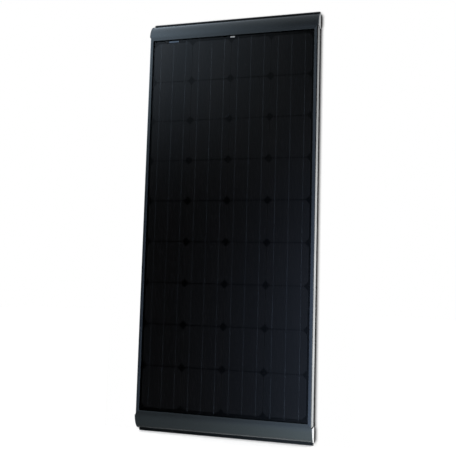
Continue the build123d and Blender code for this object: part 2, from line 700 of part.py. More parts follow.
def bypass_diodes():
    """Two axial diodes bridging neighbouring terminals."""
    wire = Cylinder(DIODE_WIRE_RADIUS, CONTACT_X - 2 * TERMINAL_HALF_W)
    diode = Cylinder(DIODE_RADIUS, DIODE_LENGTH) + wire
    places = [along_x(x, behind(DIODE_HEIGHT), BOX_Z + DIODE_RISE) for x in (-CONTACT_X / 2, CONTACT_X / 2)]
    return [place * diode for place in places]


def cable_conductors():
    """Bared copper ends from the cable sheaths to the outer terminals."""
    z = BOX_Z + TERMINAL_LOW - CONDUCTOR_LENGTH / 2
    return [Pos(x, behind(GLAND_HEIGHT), z) * Cylinder(CONDUCTOR_RADIUS, CONDUCTOR_LENGTH)
            for x in (-CONTACT_X, CONTACT_X)]


def gland_grommets():
    """Rubber bushes that seal the cables in the gland stubs."""
    ring = Cylinder(GROMMET_RADIUS, GROMMET_LENGTH) - Cylinder(CABLE_RADIUS + PLAY / 2, GROMMET_LENGTH)
    middle = STUB_LENGTH - PLAY - GROMMET_LENGTH / 2
    return [place * Pos(0, 0, middle) * ring for place in gland_locations()]


def hex_nut(across_flats, bore, height):
    """Nut with chamfered corners, standing on its base."""
    corner = across_flats / sqrt(3)
    body = extrude(RegularPolygon(corner, 6), amount=height)
    body &= Pos(0, 0, height / 2) * Cylinder(corner * 0.96, height)
    return body - Pos(0, 0, height / 2) * Cylinder(bore, height)


def gland_nuts():
    """Hexagonal nuts with a domed end, screwed on the gland stubs."""
    bore = CABLE_RADIUS + 2 * PLAY
    nut = Pos(0, 0, GLAND_NUT_START) * hex_nut(GLAND_FLATS, STUB_RADIUS + PLAY / 2, GLAND_NUT_LENGTH)
    nut += turned([(bore, GLAND_DOME[0][1]), *GLAND_DOME, (bore, GLAND_DOME[-1][1])])
    return [place * nut for place in gland_locations()]


# ---------------------------------------------------------------- cables and connectors
def cable_path():
    """Centre line of the right-hand cable: nearly straight runs joined by smooth bends."""
    low = behind(CABLE_LIFT)
    down = (0, 0, -1)
    start, straight, bend = [BOX_Z - drop for drop in CABLE_BENDS]
    stations = [
        ((CONTACT_X, behind(GLAND_HEIGHT), start), down),
        ((CONTACT_X, behind(GLAND_HEIGHT), straight), down),
        ((CONTACT_X + CABLE_SPREAD, low, bend), (0.6, 0, -0.8)),
        ((CONNECTOR_X, low, CLIP_ZS[0]), down),
        ((CONNECTOR_X, low, CLIP_ZS[1]), down),
        ((CONNECTOR_X, behind(CONNECTOR_HEIGHT), CONNECTOR_Z + CONNECTOR_REST), down),
        ((CONNECTOR_X, behind(CONNECTOR_HEIGHT), CONNECTOR_Z - CABLE_SEAT), down),
    ]
    runs = []
    for (start, aim), (end, next_aim) in zip(stations, stations[1:]):
        if start[:2] == end[:2]:
            runs.append(Line(start, end))
        else:
            runs.append(Spline(start, end, tangents=[aim, next_aim]))
    return Wire(Curve() + runs)


def cable():
    path = cable_path()
    start = Plane(origin=path @ 0, z_dir=path % 0)
    return sweep(start * Circle(CABLE_RADIUS), path=path)


def cable_clip(x, z):
    """Adhesive saddle clip with a slot to press the cable in."""
    half_w, half_l = CLIP_HALF_FOOT
    axis = Pos(x, behind(CABLE_LIFT), z)
    foot = block(x - half_w, x + half_w, behind(0), behind(CLIP_FOOT_T), z - half_l, z + half_l)
    ring = axis * Cylinder(CABLE_RADIUS + CLIP_WALL, half_l)
    mouth = block(x - CLIP_HALF_MOUTH, x + CLIP_HALF_MOUTH, behind(CABLE_LIFT), behind(CABLE_LIFT + half_l),
                  z - half_l / 2, z + half_l / 2)
    return foot + ring - axis * Cylinder(CABLE_RADIUS + PLAY, half_l) - mouth


def cable_clips():
    return [cable_clip(x, z) for x in (-CONNECTOR_X, CONNECTOR_X) for z in CLIP_ZS]


def connector_place(side):
    """Frame of a connector: local Z points back up the cable."""
    return Pos(side * CONNECTOR_X, behind(CONNECTOR_HEIGHT), CONNECTOR_Z)


def housing(front):
    """Turned connector housing round the cable bore."""
    bore = CABLE_RADIUS + PLAY
    return turned([(bore, 0), *HOUSING, *front, (bore, HOUSING_STEP)])


def snap_part(side, part):
    """Piece of a snap arm on one side of the plug."""
    offset, half_t, tip, root = part
    return block(side * offset - half_t, side * offset + half_t, -SNAP_HALF_W, SNAP_HALF_W, tip, root)


def plug_body():
    """Plug housing with two snap arms."""
    shell = housing(PLUG_FRONT)
    for side in (-1, 1):
        shell += snap_part(side, SNAP_ARM) + snap_part(side, SNAP_CATCH)
    return connector_place(-1) * shell


def socket_body():
    """Socket housing with two catch windows."""
    return connector_place(1) * (housing(SOCKET_FRONT) - Pos(0, 0, CATCH_Z) * Box(*CATCH_WINDOW))


def connector_contact(side, tip):
    """Turned contact with its crimp barrel."""
    return connector_place(side) * turned([*CONTACT_TURNING, (CONTACT_TURNING[-1][0], tip), (0, tip)])


def connector_nut(side):
    """Grooved clamping nut on the cable end of a connector."""
    bore = CABLE_RADIUS + 2 * PLAY
    body = turned([(bore, NUT_TURNING[0][1]), *NUT_TURNING, (bore, NUT_TURNING[-1][1])])
    low, high = NUT_GROOVE_SPAN
    groove = Pos(NUT_GROOVE_CENTRE, 0, (low + high) / 2) * Cylinder(NUT_GROOVE_RADIUS, high - low)
    for i in range(NUT_GROOVES):
        body -= Rot(0, 0, 360 / NUT_GROOVES * i) * groove
    return connector_place(side) * body


def rear_label():
    """Blank rating plate on the backsheet."""
    outline = Pos(0, BOX_Z - PLATE_DROP) * RectangleRounded(*PLATE)
    return slab(outline, behind(0), behind(PLATE_T))


# ---------------------------------------------------------------- build
def save_laminate():
    cells = [cell_string(column) for column in range(COLUMNS)]
    ribbons = [string_ribbons(column) for column in range(COLUMNS)]
    leads = output_leads()
    buses = bus_ribbons_top() + bus_ribbons_bottom()
    tags = [front_tag(*SERIAL_TAG), front_tag(*BADGE_TAG)]
    metal = [ribbon for column in ribbons for ribbon in column] + leads + buses
    save("front_glass", front_glass())
    save("front_encapsulant", laminate_sheet(GLASS_BACK, CELL_FRONT) - metal - tags)
    for column in range(COLUMNS):
        save(f"cell_string_{column + 1}", group(cells[column]))
        save(f"string_ribbons_{column + 1}", group(ribbons[column]))
    save("bus_ribbons_top", group(bus_ribbons_top()))
    save("bus_ribbons_bottom", group(bus_ribbons_bottom()))
    save("output_leads", group(leads))
    save("front_serial_tag", tags[0])
    save("front_badge_tag", tags[1])
    rear = laminate_sheet(CELL_FRONT, SHEET_FRONT) - [cell for column in cells for cell in column] - metal
    save("rear_encapsulant", rear)
    save("backsheet", backsheet())
    save("edge_seal", edge_seal())


def save_frame():
    frame = side_frame()
    save("side_frame_right", frame)
    save("side_frame_left", other_side(frame))
    profile = end_profile()
    save("end_profile_top", profile)
    save("end_profile_bottom", upside_down(profile))
    save_corners("end_cap", end_cap())
    save_corners("corner_key", corner_key())
    save("cap_screws", group(cap_screws()))


def save_junction_box():
    save("junction_box_adhesive", box_adhesive())
    save("junction_box_base", box_base())
    save("junction_box_lid", box_lid())
    save("junction_box_lid_seal", lid_seal())
    save("lid_hinge_pin", hinge_pin())
    save("terminals", group(terminals()))
    save("bypass_diodes", group(bypass_diodes()))
    save("cable_conductors", group(cable_conductors()))
    save("gland_grommets", group(gland_grommets()))
    save("gland_nuts", group(gland_nuts()))


def save_cables():
    right = cable()
    save("cable_positive", right)
    save("cable_negative", other_side(right))
    save("cable_clips", group(cable_clips()))
    save("plug_body", plug_body())
    save("socket_body", socket_body())
    save("plug_contact", connector_contact(-1, PLUG_TIP))
    save("socket_contact", connector_contact(1, SOCKET_TIP))
    save("plug_nut", connector_nut(-1))
    save("socket_nut", connector_nut(1))
    save("rear_label", rear_label())


os.makedirs("parts", exist_ok=True)
save_laminate()
save_frame()
save_junction_box()
save_cables()
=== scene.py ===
import math

import bmesh
import bpy
from mathutils import Matrix, Vector


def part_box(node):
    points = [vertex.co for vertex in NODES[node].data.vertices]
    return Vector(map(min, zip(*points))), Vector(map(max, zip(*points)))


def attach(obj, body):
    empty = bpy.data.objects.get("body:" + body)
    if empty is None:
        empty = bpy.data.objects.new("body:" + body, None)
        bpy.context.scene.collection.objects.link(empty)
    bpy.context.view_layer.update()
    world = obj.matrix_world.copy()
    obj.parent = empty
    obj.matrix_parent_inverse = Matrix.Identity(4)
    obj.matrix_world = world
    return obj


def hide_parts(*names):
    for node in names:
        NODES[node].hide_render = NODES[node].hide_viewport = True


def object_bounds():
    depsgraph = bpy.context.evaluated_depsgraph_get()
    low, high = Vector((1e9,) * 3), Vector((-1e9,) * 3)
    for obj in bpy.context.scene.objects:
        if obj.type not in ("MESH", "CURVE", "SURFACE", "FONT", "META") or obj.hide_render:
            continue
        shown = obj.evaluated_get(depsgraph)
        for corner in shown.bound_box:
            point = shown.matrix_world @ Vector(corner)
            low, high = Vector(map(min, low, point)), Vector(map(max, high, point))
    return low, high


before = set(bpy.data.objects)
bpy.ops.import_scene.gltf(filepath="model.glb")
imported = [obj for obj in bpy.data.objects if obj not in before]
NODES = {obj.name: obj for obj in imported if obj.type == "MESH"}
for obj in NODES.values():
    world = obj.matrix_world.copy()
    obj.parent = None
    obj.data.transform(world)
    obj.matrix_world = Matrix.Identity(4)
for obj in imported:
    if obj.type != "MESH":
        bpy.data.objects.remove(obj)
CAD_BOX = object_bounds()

# Looks of a framed solar panel standing on its lower end: metres, X width, Y front to rear, Z up.
MM = 0.001
STRINGS = 4               # strings of cells, side by side

# ---------------------------------------------------------------- places worked out from the frame
GLASS_LOW, GLASS_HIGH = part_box("front_glass")
CELLS_LOW, CELLS_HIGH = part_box("cell_string_1")
LAST_STRING_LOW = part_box(f"cell_string_{STRINGS}")[0]
CENTRE_Z = (CAD_BOX[0].z + CAD_BOX[1].z) / 2
HALF_HEIGHT = (CAD_BOX[1].z - CAD_BOX[0].z) / 2
CELL_FACE_Y = CELLS_LOW.y
CELL_SIDE = CELLS_HIGH.x - CELLS_LOW.x
PITCH = (LAST_STRING_LOW.x - CELLS_LOW.x) / (STRINGS - 1)
CELL_GAP = PITCH - CELL_SIDE

# ---------------------------------------------------------------- sizes that only the looks have
FINGER_PITCH = 1.9 * MM
BARE_MARGIN = 1.5 * MM    # upper and lower edge of a cell, without fingers
EDGE_LINE = 0.8 * MM      # printed line that joins the finger ends, measured in from the left and right edges
FOOT = 11.5 * MM          # height of the thin foot of an end profile
PANE_TO_CELLS = 0.3 * MM  # left free behind the clear slab, for the ribbons
PANE_BEVEL = 0.6 * MM
STUDIO_RADIUS = 14.0
CARD_MARGIN = 0.15        # how far the studio card stands out beyond the panel
SHADOW_REACH = 21 * MM    # how far the contact shadow reaches from the panel

# ---------------------------------------------------------------- optics and tones
GLASS_IOR = 1.29          # low, as the pane has an anti-reflection texture
BLACK = (0.0, 0.0, 0.0)
WHITE = (1.0, 1.0, 1.0)
WAFER_BLACK = (0.0004, 0.0004, 0.0005)
FILM_BLACK = (0.0002, 0.0002, 0.0002)
FRAME_GREY = (0.077, 0.085, 0.088)
SIDE_LIGHT = (0.82, 0.97, 1.15)
FRONT_LIGHT = (0.74, 0.94, 1.38)
PALE_LIGHT = (0.95, 1.0, 1.05)


# ---------------------------------------------------------------- shader helpers
class Shader:
    """The node tree of a new material or world, with short calls for the nodes this scene uses."""

    def __init__(self, name, kind="Material"):
        store = bpy.data.worlds if kind == "World" else bpy.data.materials
        self.owner = store.new(name)
        self.owner.use_nodes = True
        self.tree = self.owner.node_tree
        self.tree.nodes.clear()
        self.out = self.node(f"ShaderNodeOutput{kind}")
        self.coords = self.node("ShaderNodeTexCoord").outputs["Object"]

    def node(self, kind, **settings):
        made = self.tree.nodes.new(kind)
        for key, value in settings.items():
            setattr(made, key, value)
        return made

    def feed(self, socket, value):
        """Connect an output to a socket, or write a plain value into it."""
        if isinstance(value, bpy.types.NodeSocket):
            self.tree.links.new(value, socket)
        else:
            socket.default_value = value

    def math(self, operation, a, b=0.0, c=0.0):
        made = self.node("ShaderNodeMath", operation=operation)
        for socket, value in zip(made.inputs, (a, b, c)):
            self.feed(socket, value)
        return made.outputs[0]

    def axis(self, letter, vector=None):
        made = self.node("ShaderNodeSeparateXYZ")
        self.feed(made.inputs[0], vector or self.coords)
        return made.outputs[letter]

    def scaled(self, factors, vector=None):
        made = self.node("ShaderNodeVectorMath", operation="MULTIPLY")
        self.feed(made.inputs[0], vector or self.coords)
        made.inputs[1].default_value = factors
        return made.outputs[0]

    def plus(self, a, b):
        made = self.node("ShaderNodeVectorMath", operation="ADD")
        self.feed(made.inputs[0], a)
        self.feed(made.inputs[1], b)
        return made.outputs[0]

    def noise(self, scale, stretch=(1, 1, 1), detail=4.0, rough=0.55):
        made = self.node("ShaderNodeTexNoise")
        self.feed(made.inputs["Vector"], self.scaled(stretch))
        made.inputs["Scale"].default_value = scale
        made.inputs["Detail"].default_value = detail
        made.inputs["Roughness"].default_value = rough
        return made.outputs["Fac"]

    def remap(self, value, low, high, to_low, to_high):
        """Map one range evenly on to another; what lies outside is held at the nearer end."""
        made = self.node("ShaderNodeMapRange")
        for name, amount in zip(("Value", "From Min", "From Max", "To Min", "To Max"),
                                (value, low, high, to_low, to_high)):
            self.feed(made.inputs[name], amount)
        return made.outputs[0]

    def blend(self, factor, a, b):
        made = self.node("ShaderNodeMix", data_type="RGBA")
        self.feed(made.inputs["Factor"], factor)
        self.feed(made.inputs["A"], rgba(a))
        self.feed(made.inputs["B"], rgba(b))
        return made.outputs["Result"]

    def bump(self, height, distance, strength=1.0, under=None):
        made = self.node("ShaderNodeBump")
        made.inputs["Strength"].default_value = strength
        made.inputs["Distance"].default_value = distance
        self.feed(made.inputs["Height"], height)
        if under is not None:
            self.feed(made.inputs["Normal"], under)
        return made.outputs[0]

    def show(self, shader):
        """Send a finished shader to the output."""
        self.feed(self.out.inputs["Surface"], shader)

    def surface(self, **inputs):
        """Principled surface, sent to the output."""
        made = self.node("ShaderNodeBsdfPrincipled")
        for name, value in inputs.items():
            name = name.replace("_", " ")
            if name in ("Base Color", "Emission Color"):
                value = rgba(value)
            self.feed(made.inputs[name], value)
        self.show(made.outputs[0])


def rgba(colour):
    """Three numbers become a colour with full alpha; sockets pass through."""
    if isinstance(colour, bpy.types.NodeSocket):
        return colour
    return (*colour, 1.0)


def toned(colour, factor, lift=0.0):
    """The same colour, lighter or darker."""
    return tuple(c * factor + lift for c in colour)


# ---------------------------------------------------------------- object helpers
def paint(material, *names):
    """Give carried-over CAD nodes this material."""
    for name in names:
        for slot in NODES[name].material_slots:
            slot.link = "OBJECT"
            slot.material = material


def add_object(name, content):
    made = bpy.data.objects.new(name, content)
    bpy.context.scene.collection.objects.link(made)
    return made


def add_studio_piece(name, mesh, material, *unseen_by):
    """Piece of the studio that some kinds of ray pass by."""
    mesh.materials.append(material)
    piece = add_object(name, mesh)
    for rays in unseen_by:
        setattr(piece, f"visible_{rays}", False)


# ---------------------------------------------------------------- frame metal
def anodised(name, colour, run, rough, foot=1.0):
    """Satin anodised extrusion with die lines along its run and a cloudy sheen.

    The value of foot darkens whatever lies within the height of the thin foot, at both ends of the panel:
    painted shade for the shadow that the profile's nose casts there.
    """
    s = Shader(name)
    stretch = tuple(0.6 if axis == run else 60.0 for axis in "XYZ")
    lines = s.noise(14.0, stretch, detail=3.0)
    cloud = s.noise(5.0, detail=3.0)
    grain = s.noise(2600.0, detail=2.0)
    tone = s.math("ADD", s.math("MULTIPLY", lines, 0.35), s.math("MULTIPLY", cloud, 0.65))
    # painted shade: the thin foot at both ends of the panel is darkened in place of the shadow under the
    # profile's nose
    from_middle = s.math("ABSOLUTE", s.math("SUBTRACT", s.axis("Z"), CENTRE_Z))
    foot_shade_mask = s.math("GREATER_THAN", from_middle, HALF_HEIGHT - FOOT)
    base = s.blend(foot_shade_mask, s.blend(tone, toned(colour, 0.85), toned(colour, 1.2)), toned(colour, foot))
    satin = s.remap(tone, 0.3, 0.7, rough - 0.03, rough + 0.04)
    relief = s.bump(grain, 0.006 * MM, 0.25, s.bump(lines, 0.02 * MM, 0.2))
    along = s.node("ShaderNodeCombineXYZ")
    along.inputs[run].default_value = 1.0
    s.surface(Base_Color=base, Metallic=0.97, Roughness=s.math("ADD", satin, s.math("MULTIPLY", grain, 0.02)),
              Anisotropic=0.9, Anisotropic_Rotation=0.25, Tangent=along.outputs[0], Normal=relief)
    return s.owner


# ---------------------------------------------------------------- the pane and what lies behind it
def wipe_marks(s):
    """Faint streaks left by wiping the pane, stretched along its height."""
    return s.noise(9.0, (1.0, 1.0, 0.22), detail=5.0, rough=0.6)


def under_glass(s, scatter, **inputs):
    """Surface bonded behind the cover glass.

    The coat is the weak, slightly blurred reflection of the pane. The light that scatters inside the laminate
    is far too faint to gather by sampling, so it is given as an even glow in the colour of what lies there.
    """
    blur = s.remap(wipe_marks(s), 0.35, 0.7, 0.05, 0.10)
    ripple = s.bump(s.noise(7.0, detail=2.0), 0.4 * MM, 0.1)
    s.surface(Coat_Weight=1.0, Coat_IOR=GLASS_IOR, Coat_Roughness=blur, Coat_Normal=ripple,
              Emission_Color=scatter, Emission_Strength=1.0, **inputs)


def from_edge(s, axis):
    """Distance from the nearest cell edge along one axis, in metres; negative in the gaps."""
    low = getattr(CELLS_LOW, axis.lower())
    along = s.math("PINGPONG", s.math("SUBTRACT", s.axis(axis), low - CELL_GAP / 2), PITCH / 2)
    return s.math("SUBTRACT", along, CELL_GAP / 2)


def past_first(s, axis):
    """Nought on the first row of cells along one axis, one beyond it."""
    low = getattr(CELLS_LOW, axis.lower())
    return s.math("FLOOR", s.remap(s.axis(axis), low, low + PITCH, 0.0, 1.0))


def wafer_shade(s):
    """Shade of the bare wafer: a fine mottle, and a small step past the left column and the lowest row."""
    dark, light = (0.0014, 0.0014, 0.0015), (0.0020, 0.0020, 0.0022)
    batch = s.node("ShaderNodeCombineXYZ")
    s.feed(batch.inputs["X"], past_first(s, "X"))
    s.feed(batch.inputs["Y"], past_first(s, "Z"))
    pick = s.node("ShaderNodeTexWhiteNoise", noise_dimensions="2D")
    s.feed(pick.inputs["Vector"], batch.outputs[0])
    mottle = s.remap(s.noise(60.0, detail=5.0), 0.3, 0.7, 0.0, 0.3)
    return s.blend(mottle, s.blend(pick.outputs["Value"], dark, light), (0.0022, 0.0023, 0.0026))


def wafer_sheen(s):
    """Dull painted reflection of the two large soft boxes by the wafers themselves, behind the pane, worked
    out from the view direction.
    """
    back = s.scaled((1, -1, 1), s.node("ShaderNodeNewGeometry").outputs["Incoming"])
    front = soft_box(s, back, (0.25, -1.0, -0.10), FRONT_LIGHT, 38, 12, 0.015, fall=3.0)
    return s.plus(front, tall_box(s, back, SIDE_LIGHT, 0.020, 0.010))


def silicon():
    """Blue-black wafers with printed fingers, joined by a line at the left and right side of each cell."""
    s = Shader("silicon_wafer")
    bare = (0.0008, 0.0008, 0.0009)
    finger_print = (0.0055, 0.0057, 0.0060)
    edge_print = (0.0072, 0.0074, 0.0077)
    inside = s.math("GREATER_THAN", from_edge(s, "Z"), BARE_MARGIN)
    finger = s.math("PINGPONG", s.math("MULTIPLY", s.axis("Z"), 1 / FINGER_PITCH), 0.5)
    fingers = s.math("MULTIPLY", s.remap(finger, 0.40, 0.44, 0.0, 1.0), inside)
    joining = s.math("COMPARE", from_edge(s, "X"), EDGE_LINE, EDGE_LINE / 2)
    # These wafer and print tones, with the painted sheen added, are given as glow: painted light in place of
    # the light the cells scatter back
    colour = s.blend(inside, bare, wafer_shade(s))
    colour = s.blend(fingers, colour, finger_print)
    colour = s.blend(s.math("MULTIPLY", joining, inside), colour, edge_print)
    under_glass(s, s.plus(colour, wafer_sheen(s)), Base_Color=WAFER_BLACK, Roughness=0.5,
                Specular_IOR_Level=0.0)
    return s.owner


def ribbon():
    """Dark-coated solder ribbon with slight waviness."""
    s = Shader("ribbon_metal")
    wave = s.noise(40.0, (1, 1, 0.25), detail=2.0)
    colour = s.blend(wave, (0.031, 0.033, 0.035), (0.045, 0.048, 0.051))
    scatter = s.blend(wave, (0.0026, 0.0026, 0.0028), (0.0037, 0.0037, 0.0039))
    under_glass(s, scatter, Base_Color=colour, Metallic=1.0, Roughness=0.25,
                Normal=s.bump(wave, 0.02 * MM, 0.2))
    return s.owner


def blackened_ribbon():
    """Wide connection ribbon with a black film on its front, so that it vanishes against the backsheet."""
    s = Shader("blackened_ribbon")
    scatter = s.blend(s.noise(60.0, detail=3.0), FILM_BLACK, (0.0005, 0.0005, 0.0006))
    under_glass(s, scatter, Base_Color=FILM_BLACK, Roughness=0.6, Specular_IOR_Level=0.0)
    return s.owner


def cover_glass():
    """Clear pane with faint wipe marks; its reflection is the coat of what is bonded behind it."""
    s = Shader("cover_glass")
    wiped = s.remap(wipe_marks(s), 0.35, 0.75, 0.0, 1.0)
    clear = s.node("ShaderNodeBsdfTransparent")
    s.feed(clear.inputs["Color"], s.blend(wiped, WHITE, (0.94, 0.96, 0.97)))
    s.show(clear.outputs[0])
    return s.owner


def backsheet_film():
    """Laminated film: black with the coat of the pane towards the cells, off-white and uneven outside."""
    s = Shader("backsheet_film")
    normal = s.node("ShaderNodeNewGeometry").outputs["True Normal"]
    rearward = s.math("GREATER_THAN", s.axis("Y", normal), 0.5)
    weave = s.noise(420.0, detail=3.0)
    sag = s.noise(11.0, detail=3.0)
    outside = s.blend(s.remap(sag, 0.3, 0.7, 0.0, 1.0), (0.66, 0.67, 0.66), (0.74, 0.75, 0.74))
    relief = s.bump(weave, 0.03 * MM, 0.5, s.bump(sag, 0.8 * MM, 0.2))
    coat_relief = s.bump(s.math("MULTIPLY", weave, rearward), 0.03 * MM, 0.5)
    s.surface(Base_Color=s.blend(rearward, FILM_BLACK, outside), Normal=relief,
              Roughness=s.remap(weave, 0.3, 0.7, 0.42, 0.6),
              Specular_IOR_Level=s.remap(rearward, 0.0, 1.0, 0.0, 0.4),
              Coat_Weight=s.math("SUBTRACT", 1.0, rearward), Coat_Normal=coat_relief,
              Coat_IOR=GLASS_IOR, Coat_Roughness=0.07)
    return s.owner


# ---------------------------------------------------------------- materials of the small parts
def moulded(name, colour, rough=0.5):
    """Moulded black plastic with a spark-eroded grain and a little dust."""
    s = Shader(name)
    grain = s.noise(1500.0, detail=2.0)
    cloud = s.noise(30.0)
    shade = s.blend(s.remap(cloud, 0.35, 0.75, 0.0, 0.25), colour, toned(colour, 2.2, 0.01))
    s.surface(Base_Color=shade, Roughness=s.remap(cloud, 0.3, 0.7, rough - 0.06, rough + 0.08),
              Normal=s.bump(grain, 0.04 * MM, 0.5))
    return s.owner


def rubber(name, colour, rough=0.7):
    """Matt elastomer with a fine grain and a pale bloom."""
    s = Shader(name)
    grain = s.noise(2200.0, detail=2.0)
    cloud = s.noise(45.0)
    shade = s.blend(s.remap(cloud, 0.3, 0.75, 0.0, 0.5), colour, toned(colour, 1.7, 0.004))
    s.surface(Base_Color=shade, Roughness=s.remap(grain, 0.3, 0.7, rough - 0.08, rough + 0.08),
              Normal=s.bump(grain, 0.03 * MM, 0.6))
    return s.owner


def metal(name, colour, rough, scratch=(1, 1, 1)):
    """Bare metal with fine scratches and a patchy tarnish."""
    s = Shader(name)
    marks = s.noise(900.0, scratch, detail=3.0)
    patch = s.noise(120.0)
    shade = s.blend(s.remap(patch, 0.35, 0.75, 0.0, 0.6), colour, toned(colour, 0.6))
    s.surface(Base_Color=shade, Roughness=s.remap(marks, 0.3, 0.7, rough - 0.08, rough + 0.12),
              Metallic=1.0, Normal=s.bump(marks, 0.02 * MM, 0.4))
    return s.owner


def blank_film(name, colour):
    """Plain sticker film with faint mottling."""
    s = Shader(name)
    mottle = s.noise(500.0, detail=3.0)
    shade = s.blend(mottle, colour, toned(colour, 0.82))
    s.surface(Base_Color=shade, Roughness=s.remap(mottle, 0.3, 0.7, 0.3, 0.45),
              Normal=s.bump(mottle, 0.02 * MM, 0.3))
    return s.owner


# ---------------------------------------------------------------- which node gets which material
def dress_frame():
    corners = ["top_left", "top_right", "bottom_left", "bottom_right"]
    paint(anodised("anodised_side", FRAME_GREY, "Z", 0.22), "side_frame_left", "side_frame_right")
    # foot=0.3 paints shade on the thin foot at both ends of the end profiles
    paint(anodised("anodised_end", FRAME_GREY, "X", 0.22, foot=0.3), "end_profile_top", "end_profile_bottom")
    paint(anodised("anodised_cap", (0.085, 0.092, 0.098), "Y", 0.26), *[f"end_cap_{c}" for c in corners])
    paint(metal("key_metal", (0.52, 0.53, 0.54), 0.45), *[f"corner_key_{c}" for c in corners])


def dress_laminate():
    numbers = range(1, STRINGS + 1)
    paint(silicon(), *[f"cell_string_{i}" for i in numbers])
    paint(ribbon(), *[f"string_ribbons_{i}" for i in numbers])
    paint(blackened_ribbon(), "bus_ribbons_top", "bus_ribbons_bottom", "output_leads")
    paint(backsheet_film(), "backsheet")
    paint(blank_film("serial_tag", (0.045, 0.068, 0.100)), "front_serial_tag")
    paint(blank_film("badge_tag", (0.28, 0.29, 0.30)), "front_badge_tag")
    paint(blank_film("rating_film", (0.54, 0.56, 0.58)), "rear_label")


def dress_small_parts():
    paint(moulded("box_plastic", (0.012, 0.012, 0.013)),
          "junction_box_base", "junction_box_lid", "gland_nuts", "cable_clips")
    paint(moulded("diode_epoxy", (0.010, 0.010, 0.011), 0.35), "bypass_diodes")
    paint(moulded("connector_plastic", (0.011, 0.011, 0.012), 0.45),
          "plug_body", "socket_body", "plug_nut", "socket_nut")
    paint(rubber("seal_rubber", (0.006, 0.006, 0.006)),
          "edge_seal", "junction_box_lid_seal", "gland_grommets")
    paint(rubber("silicone", (0.45, 0.45, 0.43), 0.5), "junction_box_adhesive")
    paint(rubber("cable_sheath", (0.010, 0.010, 0.011), 0.55), "cable_positive", "cable_negative")
    paint(metal("steel", (0.50, 0.50, 0.51), 0.30), "cap_screws", "lid_hinge_pin")
    paint(metal("tinned", (0.66, 0.65, 0.62), 0.32), "terminals", "plug_contact", "socket_contact")
    paint(metal("copper_strand", (0.78, 0.36, 0.20), 0.35, (1, 1, 0.1)), "cable_conductors")


# ---------------------------------------------------------------- the one new piece
def laminate_front():
    """Glass with the clear films fused to its rear, as one slab in front of the ribbons."""
    low = GLASS_LOW
    high = Vector((GLASS_HIGH.x, CELL_FACE_Y - PANE_TO_CELLS, GLASS_HIGH.z))
    corners = [(x, y, z) for x in (low.x, high.x) for y in (low.y, high.y) for z in (low.z, high.z)]
    faces = [(0, 1, 3, 2), (4, 6, 7, 5), (0, 4, 5, 1), (2, 3, 7, 6), (0, 2, 6, 4), (1, 5, 7, 3)]
    mesh = bpy.data.meshes.new("laminate_front")
    mesh.from_pydata(corners, [], faces)
    mesh.materials.append(cover_glass())
    slab = add_object("laminate_front", mesh)
    bevel = slab.modifiers.new("edge", "BEVEL")
    bevel.width = PANE_BEVEL
    bevel.segments = 3
    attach(slab, "panel")
    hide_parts("front_glass", "front_encapsulant", "rear_encapsulant")


# ---------------------------------------------------------------- patches of light
# Each depends on back, the direction from the patch to the surface that reflects it: its X is positive for a
# patch on the left, its Y for a patch in front and its Z for a patch below.
def tinted(s, amount, colour):
    """An amount of light, as a colour."""
    made = s.node("ShaderNodeVectorMath", operation="SCALE")
    made.inputs[0].default_value = colour
    s.feed(made.inputs["Scale"], amount)
    return made.outputs[0]


def soft_box(s, back, aim, colour, wide, tight, strength, fall=1.0):
    """Patch of light round one direction: full inside the tight angle, fading to nothing at the wide one."""
    facing = s.node("ShaderNodeVectorMath", operation="DOT_PRODUCT")
    s.feed(facing.inputs[0], back)
    facing.inputs[1].default_value = -Vector(aim).normalized()
    rim, full = math.cos(math.radians(wide)), math.cos(math.radians(tight))
    share = s.remap(facing.outputs["Value"], rim, full, 0.0, 1.0)
    return tinted(s, s.math("MULTIPLY", s.math("POWER", share, fall), strength), colour)


def tall_box(s, back, colour, strength, most):
    """Tall soft box on the left: grows towards the left edge, starts above the horizon and dims overhead."""
    left = s.math("POWER", s.remap(s.axis("X", back), 0.0, 0.43, 0.0, 1.0), 3.4)
    climb = s.math("POWER", s.remap(s.axis("Z", back), -0.06, -0.36, 0.0, 1.0), 2.8)
    dimming = s.remap(s.axis("Z", back), -0.40, -0.85, strength, 0.55 * strength)
    amount = s.math("MULTIPLY", s.math("MULTIPLY", left, climb), dimming)
    return tinted(s, s.math("MINIMUM", amount, most), colour)


def floor_glow(s, back, colour):
    """Light off the floor in front: begins below the horizon and is weaker towards the left."""
    down = s.remap(s.axis("Z", back), 0.17, 0.30, 0.0, 1.0)
    side = s.math("POWER", s.remap(s.axis("X", back), 0.42, 0.14, 0.0, 1.0), 2.2)
    near = s.remap(s.axis("Y", back), -0.65, 0.0, 0.12, 1.0)
    amount = s.math("MULTIPLY", s.math("MULTIPLY", down, near), s.remap(side, 0.0, 1.0, 0.22, 1.17))
    return tinted(s, amount, colour)


# ---------------------------------------------------------------- studio
def studio_world():
    """Plain white surround that only the camera sees."""
    s = Shader("studio", "World")
    plain = s.node("ShaderNodeBackground")
    plain.inputs["Color"].default_value = rgba(WHITE)
    s.feed(plain.inputs["Strength"], s.node("ShaderNodeLightPath").outputs["Is Camera Ray"])
    s.show(plain.outputs[0])
    bpy.context.scene.world = s.owner


